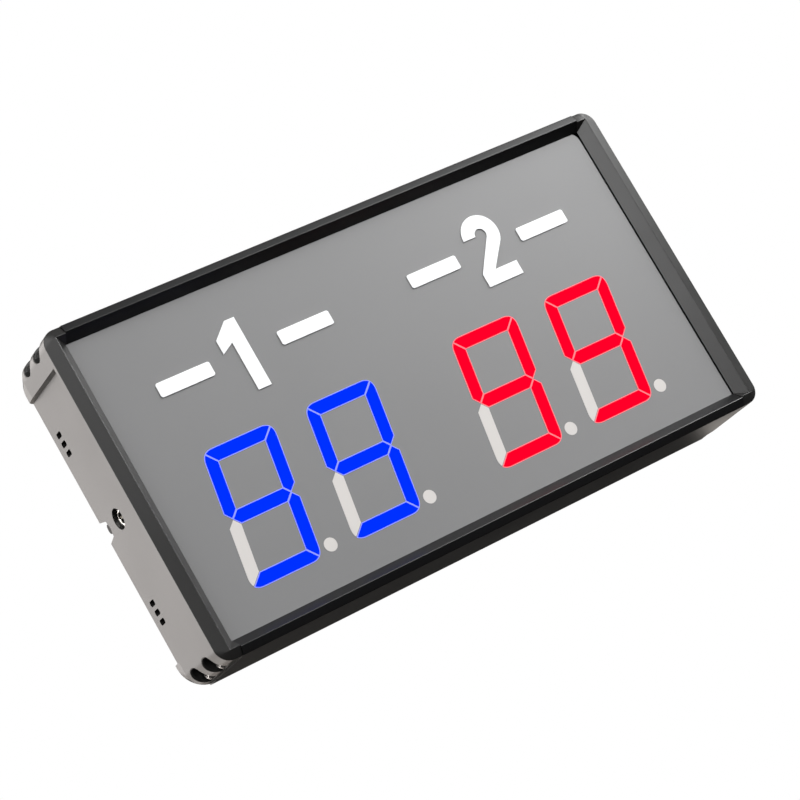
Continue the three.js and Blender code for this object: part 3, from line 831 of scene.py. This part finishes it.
@dataclass(frozen=True)
class ScrewRecess:
    """A deep round recess for a screw, along X, in an end cap."""

    depth: float
    height: float
    radius: float = 3.8
    floor: float = 107.6
    tolerance: float = 0.06
    wall_lean: float = 0.05
    rim_depth: float = 0.7
    rim_reach: float = 0.6

    def reach(self, vert: bmesh.types.BMVert) -> float:
        """Gives a corner's distance from the recess's axis, in millimetres."""
        axis = place(0.0, self.depth, self.height)
        return math.hypot(vert.co.y - axis.y, vert.co.z - axis.z) / MM

    def is_wall(self, face: bmesh.types.BMFace) -> bool:
        """Says whether a face is part of the recess's wall.

        Args:
            face: The face.

        Returns:
            Whether it runs along X and has all its corners at the recess's radius.
        """
        if abs(face.normal.x) >= self.wall_lean:
            return False
        return all(abs(self.reach(vert) - self.radius) < self.tolerance for vert in face.verts)

    def soften_rim(self, bm: bmesh.types.BMesh, rounded: bmesh.types.BMLayerItem) -> None:
        """Draws the wall inwards below the rim, which rounds the rim.

        Args:
            bm: The cap's mesh, changed in place.
            rounded: The face layer that marks the rims.
        """
        axis = place(0.0, self.depth, self.height)
        walls = [face for face in bm.faces if self.is_wall(face)]
        if not walls:
            return
        floor = {
            vert
            for face in walls
            for vert in face.verts
            if abs(abs(vert.co.x) / MM - self.floor) < self.tolerance
        }
        made = bmesh.ops.inset_region(
            bm,
            faces=walls,
            thickness=self.rim_depth * MM,
            use_even_offset=True,
            use_boundary=True,
        )
        for face in made["faces"]:
            face[rounded] = 1
        for vert in floor | {vert for face in walls for vert in face.verts}:
            share = (self.reach(vert) - self.rim_reach) / self.reach(vert)
            vert.co.y = axis.y + (vert.co.y - axis.y) * share
            vert.co.z = axis.z + (vert.co.z - axis.z) * share


@dataclass
class Case:
    """The two end caps and the two rails, with the roundings that moulding and drawing leave."""

    frame: dict
    ridge_rounding: float = 0.3
    ridge_faces: int = 3
    lip_rounding: float = 0.14
    lip_faces: int = 2
    rail_rounding: float = 0.3
    rail_faces: int = 3
    ridge_rear: float = -3.6
    bezel_rear: float = -0.5
    rail_front: float = -1.0
    rail_edge_metres: float = 0.1
    recesses: tuple[ScrewRecess, ...] = tuple(
        ScrewRecess(depth, height) for depth in (7.2, 18.25) for height in (-56.1, 56.1)
    )

    def build(self) -> None:
        """Makes the caps and the rails in place of their nodes."""
        for side in ("left", "right"):
            self.build_cap(side)
        for name in ("top_rail", "bottom_rail"):
            self.build_rail(name)

    def build_cap(self, side: str) -> None:
        """Makes one end cap with rounded edges and softened recess rims.

        Args:
            side: "left" or "right".
        """
        node = f"{side}_end_cap"
        bm = merged_copy(node, self.frame)
        rounded = bm.faces.layers.int.new(ROUNDED)
        for recess in self.recesses:
            recess.soften_rim(bm, rounded)
        ridge = place(0.0, self.ridge_rear, 0.0).y
        rear = place(0.0, self.bezel_rear, 0.0).y

        def on_ridge(edge: bmesh.types.BMEdge) -> bool:
            """Says whether an edge lies on the ridge at the front."""
            return all(vert.co.y < ridge for vert in edge.verts)

        def on_lip(edge: bmesh.types.BMEdge) -> bool:
            """Says whether an edge runs from the ridge to the panel or lies between them."""
            depths = [vert.co.y for vert in edge.verts]
            return max(depths) < rear and max(depths) > ridge

        round_edges(bm, on_ridge, self.ridge_rounding, self.ridge_faces)
        round_edges(bm, on_lip, self.lip_rounding, self.lip_faces)
        material = CAP_PLASTIC.build()
        piece = finish_piece(bm, f"{side}_cap_moulding", [material], CASE_SMOOTH, CapSkin())
        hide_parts(node)

    def build_rail(self, node: str) -> None:
        """Makes one rail with rounded edges along its length.

        Args:
            node: The rail's node.
        """
        bm = merged_copy(node, self.frame)
        front = place(0.0, self.rail_front, 0.0).y

        def along_front(edge: bmesh.types.BMEdge) -> bool:
            """Says whether an edge runs along the rail's front."""
            return edge.calc_length() > self.rail_edge_metres and edge.verts[0].co.y < front

        round_edges(bm, along_front, self.rail_rounding, self.rail_faces)
        piece = finish_piece(bm, f"{node}_extrusion", [RAIL_METAL.build()], CASE_SMOOTH)
        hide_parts(node)


@dataclass
class Turned:
    """A piece turned round a line that runs to the right through one point of the left cap."""

    name: str
    node: str
    slot: str
    finish: Finish
    profile: tuple[Point, ...]
    depth: float = 15.4
    height: float = -1.0
    steps: int = 72

    def build(self) -> None:
        """Spins the profile, of places along X and radii, into a closed body."""
        bm = bmesh.new()
        verts = [
            bm.verts.new(place(x, self.depth, self.height + radius)) for x, radius in self.profile
        ]
        loop = [bm.edges.new((first, second)) for first, second in zip(verts, verts[1:])]
        if all(radius > 0.0 for _, radius in self.profile):
            loop.append(bm.edges.new((verts[-1], verts[0])))
        bmesh.ops.spin(
            bm,
            geom=loop,
            cent=place(0.0, self.depth, self.height),
            axis=(1.0, 0.0, 0.0),
            angle=math.tau,
            steps=self.steps,
            use_merge=True,
        )
        bmesh.ops.remove_doubles(bm, verts=bm.verts, dist=JOIN_DISTANCE)
        bmesh.ops.recalc_face_normals(bm, faces=bm.faces)
        piece = finish_piece(bm, self.name, [self.finish.build()], TURNED_SMOOTH)
        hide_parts(self.node)


# Places along X and radii of the plug socket's sleeve and of its pin, with rounded rims
SLEEVE_PROFILE = (
    (-109.89, 3.1),
    (-109.89, 2.2),
    (-109.82, 2.03),
    (-109.68, 1.91),
    (-109.5, 1.85),
    (-100.04, 1.85),
    (-100.04, 3.4),
    (-109.64, 3.4),
    (-109.8, 3.33),
    (-109.87, 3.22),
)
PIN_PROFILE = (
    (-108.34, 0.0),
    (-108.31, 0.2),
    (-108.2, 0.4),
    (-108.02, 0.56),
    (-107.78, 0.63),
    (-107.5, 0.65),
    (-98.34, 0.65),
    (-98.34, 0.0),
)


def socket_pieces() -> tuple[Turned, ...]:
    """Gives the sleeve that the plug hole shows, and the pin in its middle."""
    return tuple(
        Turned(f"socket_{part}_turned", f"plug_socket_{part}", "contact_metal", CONTACT_METAL, line)
        for part, line in (("sleeve", SLEEVE_PROFILE), ("pin", PIN_PROFILE))
    )


class Bar(Enum):
    """The bars of a digit, by their usual letters."""

    TOP = "a"
    UPPER_RIGHT = "b"
    LOWER_RIGHT = "c"
    BOTTOM = "d"
    LOWER_LEFT = "e"
    UPPER_LEFT = "f"
    MIDDLE = "g"


NINE = frozenset(
    {Bar.TOP, Bar.UPPER_RIGHT, Bar.LOWER_RIGHT, Bar.BOTTOM, Bar.UPPER_LEFT, Bar.MIDDLE}
)


def moved_in(corners: Sequence[Point], distance: float) -> list[Point]:
    """Moves every side of a convex outline inwards.

    Args:
        corners: The outline, anticlockwise.
        distance: How far each side moves.

    Returns:
        The corners of the smaller outline.
    """
    sides = []
    for (x, z), (next_x, next_z) in zip(corners, [*corners[1:], corners[0]]):
        length = math.hypot(next_x - x, next_z - z)
        normal = (-(next_z - z) / length, (next_x - x) / length)
        sides.append((*normal, normal[0] * x + normal[1] * z + distance))
    made = []
    for (a, b, c), (d, e, f) in zip([sides[-1], *sides[:-1]], sides):
        cross = a * e - b * d
        made.append(((c * e - b * f) / cross, (a * f - c * d) / cross))
    return made


@dataclass
class DigitFace:
    """The face of one leant digit: bars edge to edge, of which the lit ones glow inside a halo."""

    number: int
    centre_x: float
    light: Finish
    halo: Finish
    slot: str
    lit: frozenset[Bar] = NINE
    centre_z: float = -18.9
    height: float = 46.4
    width: float = 27.4
    bar: float = 4.8
    open_reach: float = 4.0
    tight_reach: float = 5.0
    corner_steps: int = 6
    lean: float = math.radians(10.0)
    dot_radius: float = 2.32
    dot_offset: float = 14.18
    dot_drop: float = 20.4
    lit_margin: float = 0.3
    dark_margin: float = 0.2
    face_depth: float = 0.05
    light_depth: float = 0.04
    dot_sides: int = 48
    join: float = 0.01

    def corner_half(self, reach: float, from_side: bool) -> list[Point]:
        """Gives half of the rounding of the upper right corner.

        Args:
            reach: How far the rounding reaches from the corner.
            from_side: Whether it starts at the right side, or at the top.

        Returns:
            Its points, the last of which is the rounding's middle.
        """
        points = []
        for step in range(self.corner_steps + 1):
            share = step / self.corner_steps / 2
            along, across = reach * (1 - share) ** 2, reach * share**2
            x, z = (across, along) if from_side else (along, across)
            points.append((self.width / 2 - x, self.height / 2 - z))
        return points

    def upper_side(self, reach: float) -> list[Point]:
        """Gives the upright outline of the upper right bar.

        Args:
            reach: How far the rounding of its corner reaches.

        Returns:
            Its corners, anticlockwise from the front.
        """
        half, side = self.bar / 2, self.width / 2
        inner_x, inner_z = side - self.bar, self.height / 2 - self.bar
        rest = [(inner_x, inner_z), (inner_x, half), (side - half, 0.0), (side, half)]
        return [*self.corner_half(reach, True), *rest]

    def outline(self, bar: Bar) -> list[Point]:
        """Gives a bar's outline, leant over, round the digit's centre.

        Args:
            bar: The bar.

        Returns:
            Its corners, anticlockwise from the front.
        """
        half = self.bar / 2
        inner_x, inner_z = self.width / 2 - self.bar, self.height / 2 - self.bar
        tip = self.width / 2 - half
        open_corner = [(-x, z) for x, z in self.corner_half(self.open_reach, False)]
        upper = [
            *open_corner,
            (-inner_x, inner_z),
            (inner_x, inner_z),
            *reversed(self.corner_half(self.tight_reach, False)),
        ]
        centre = [(-tip, 0.0), (half - tip, -half), (tip - half, -half)]
        centre += [(-x, -z) for x, z in centre]
        tight_side = self.upper_side(self.tight_reach)
        open_side = self.upper_side(self.open_reach)
        upright = {
            Bar.TOP: upper,
            Bar.UPPER_RIGHT: tight_side,
            Bar.LOWER_RIGHT: [(x, -z) for x, z in reversed(open_side)],
            Bar.BOTTOM: [(-x, -z) for x, z in upper],
            Bar.LOWER_LEFT: [(-x, -z) for x, z in tight_side],
            Bar.UPPER_LEFT: [(-x, z) for x, z in reversed(open_side)],
            Bar.MIDDLE: centre,
        }[bar]
        return [(x + z * math.tan(self.lean), z) for x, z in upright]

    def add_outline(self, bm: bmesh.types.BMesh, corners: Sequence[Point], depth: float) -> None:
        """Adds one flat outline to a mesh, looking to the front.

        Args:
            bm: The mesh.
            corners: The outline's corners, round the digit's centre.
            depth: Millimetres in front of the panel.
        """
        spots = [place(self.centre_x + x, -depth, self.centre_z + z) for x, z in corners]
        bm.faces.new([bm.verts.new(spot) for spot in spots])

    def add_dot(self, bm: bmesh.types.BMesh) -> None:
        """Adds the round dot to a mesh.

        Args:
            bm: The mesh, changed in place.
        """
        centre = place(self.centre_x + self.dot_offset, 0.0, self.centre_z - self.dot_drop)
        bmesh.ops.create_circle(
            bm,
            cap_ends=True,
            segments=self.dot_sides,
            radius=self.dot_radius * MM,
            matrix=Matrix.Translation(centre) @ Matrix.Rotation(math.radians(90.0), 4, "X"),
        )

    def thicken(self, bm: bmesh.types.BMesh, thickness: float) -> None:
        """Gives flat outlines a thickness towards the front.

        Args:
            bm: The mesh, changed in place.
            thickness: Millimetres to the front.
        """
        made = bmesh.ops.extrude_face_region(bm, geom=bm.faces[:], use_keep_orig=True)
        moved = [part for part in made["geom"] if isinstance(part, bmesh.types.BMVert)]
        bmesh.ops.translate(bm, verts=moved, vec=(0.0, -thickness * MM, 0.0))
        bmesh.ops.recalc_face_normals(bm, faces=bm.faces)

    def build(self) -> None:
        """Makes the pale unlit parts, the halo of the lit bars and the lit bars."""
        self.build_dark()
        self.build_halo()
        self.build_light()

    def build_dark(self) -> None:
        """Makes the unlit bars and the dot as thin pale pieces."""
        bm = bmesh.new()
        for bar in Bar:
            if bar not in self.lit:
                self.add_outline(bm, moved_in(self.outline(bar), self.dark_margin), 0.0)
        self.add_dot(bm)
        self.thicken(bm, self.face_depth)
        piece = finish_piece(bm, f"digit_unlit_{self.number}", [PALE_FACE.build()], DIGIT_SMOOTH)

    def build_halo(self) -> None:
        """Makes the halo that joins the lit bars as one thin piece."""
        bm = bmesh.new()
        for bar in Bar:
            if bar in self.lit:
                self.add_outline(bm, self.outline(bar), 0.0)
        bmesh.ops.remove_doubles(bm, verts=bm.verts, dist=self.join * MM)
        self.thicken(bm, self.face_depth)
        piece = finish_piece(bm, f"digit_halo_{self.number}", [self.halo.build()], DIGIT_SMOOTH)

    def build_light(self) -> None:
        """Makes the lit bars as thin pieces on the halo."""
        bm = bmesh.new()
        for bar in Bar:
            if bar in self.lit:
                self.add_outline(bm, moved_in(self.outline(bar), self.lit_margin), self.face_depth)
        self.thicken(bm, self.light_depth)
        piece = finish_piece(bm, f"digit_light_{self.number}", [self.light.build()], DIGIT_SMOOTH)


@dataclass
class NodeDressing:
    """The nodes whose shape stays, each with its finish."""

    frame: dict
    finishes: dict[str, Finish] = field(
        default_factory=lambda: {
            "front_panel": PANEL_SHEET,
            "rear_panel": REAR_SHEET,
            "digit_shell": SHELL_PLASTIC,
            "digit_cast_1": BLUE_RESIN,
            "digit_cast_2": BLUE_RESIN,
            "digit_cast_3": RED_RESIN,
            "digit_cast_4": RED_RESIN,
            "header": MARK_VINYL,
            "left_cap_screw": SCREW_STEEL,
            "right_cap_screw": SCREW_STEEL,
            "plug_socket_body": SOCKET_PLASTIC,
            "plug_socket_sleeve": CONTACT_METAL,
            "plug_socket_pin": CONTACT_METAL,
            "notch_grommet": GROMMET_RUBBER,
            "main_board": BOARD_LAMINATE,
            "receiver_board": BOARD_LAMINATE,
            "receiver_header": COMPONENT_BLACK,
            "controller_chip": COMPONENT_BLACK,
            "driver_chip": COMPONENT_BLACK,
            "regulator": COMPONENT_BLACK,
            "capacitor": COMPONENT_BLACK,
            "sounder": COMPONENT_BLACK,
            "crystal": CAN_METAL,
            "left_end_cap": CAP_PLASTIC,
            "right_end_cap": CAP_PLASTIC,
            "top_rail": RAIL_METAL,
            "bottom_rail": RAIL_METAL,
        }
    )

    def build(self) -> None:
        """Gives every node the finish of the longest name that it starts with."""
        for name, node in self.frame["nodes"].items():
            match = max((key for key in self.finishes if name.startswith(key)), key=len)
            material = self.finishes[match].build()
            if not node.data.materials:
                node.data.materials.append(material)
            for slot in node.material_slots:
                slot.material = material
            LOG.info("dressed %s in %s", name, material.name)


# How far right of the panel's middle each digit's centre is, and how the digit is lit
BLUE_DIGIT = (BLUE_LIGHT, BLUE_HALO, "blue_resin")
RED_DIGIT = (RED_LIGHT, RED_HALO, "red_resin")
DIGITS = ((-73.05, BLUE_DIGIT), (-33.25, BLUE_DIGIT), (26.6, RED_DIGIT), (66.4, RED_DIGIT))


def main() -> None:
    """Builds the looks in order."""
    logging.basicConfig(level=logging.INFO, format="%(name)s: %(message)s")
    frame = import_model()
    PhotoCamera().build()
    Studio().build()
    NodeDressing(frame).build()
    Case(frame).build()
    for piece in socket_pieces():
        piece.build()
    for number, (centre_x, lights) in enumerate(DIGITS, start=1):
        DigitFace(number, centre_x, *lights).build()


if __name__ == "__main__":
    main()
